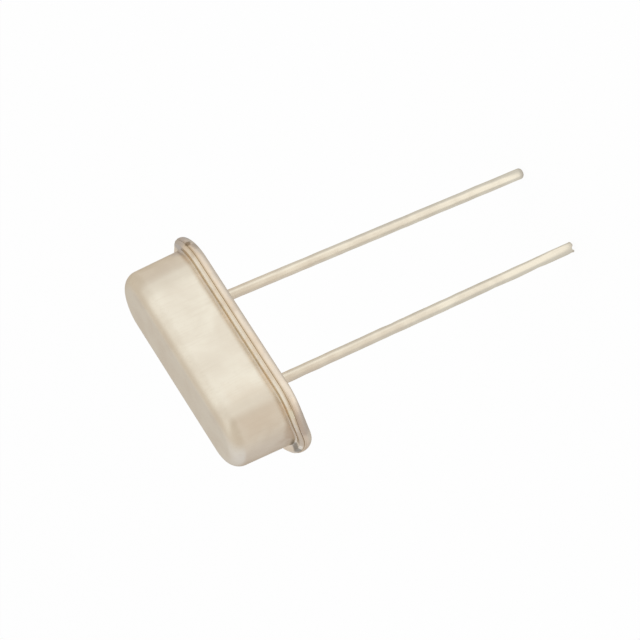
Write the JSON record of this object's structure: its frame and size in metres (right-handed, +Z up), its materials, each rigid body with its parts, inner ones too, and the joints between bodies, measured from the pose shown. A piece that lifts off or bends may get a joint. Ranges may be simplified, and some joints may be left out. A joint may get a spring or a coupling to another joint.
{
  "type": "two-lead quartz crystal unit",
  "caption": "Low metal can with rounded ends and a welded flange on an oval base, two long wire leads through glass seals, and a clip-held quartz strip inside.",
  "frame": {"origin": "centre of the base's underside, which is the seating plane on a circuit board", "axes": "+X along the can, +Z up through the can's closed end, leads down along -Z; the left side is -X"},
  "size_m": [0.0116, 0.0044, 0.0193],
  "materials": {
    "can_metal": "satin nickel plating, warm, on drawn sheet",
    "base_metal": "satin nickel plating, warm, slightly speckled from the weld",
    "lead_wire": "satin nickel plated wire with fine drawing lines",
    "seal_glass": "dark fused sealing glass",
    "spring_sheet": "thin nickel alloy spring sheet",
    "quartz": "lapped quartz strip, slightly frosted",
    "electrode_film": "evaporated silver film",
    "conductive_adhesive": "silver-filled adhesive, matt grey"
  },
  "bodies": {
    "root": {"can": "can_metal", "base": "base_metal", "glass_seal_left": "seal_glass", "glass_seal_right": "seal_glass", "lead_left": "lead_wire", "lead_right": "lead_wire", "spring_clip_left": "spring_sheet", "spring_clip_right": "spring_sheet", "quartz_blank": "quartz", "electrode_top": "electrode_film", "electrode_bottom": "electrode_film", "adhesive_left": "conductive_adhesive", "adhesive_right": "conductive_adhesive"}
  },
  "joints": []
}
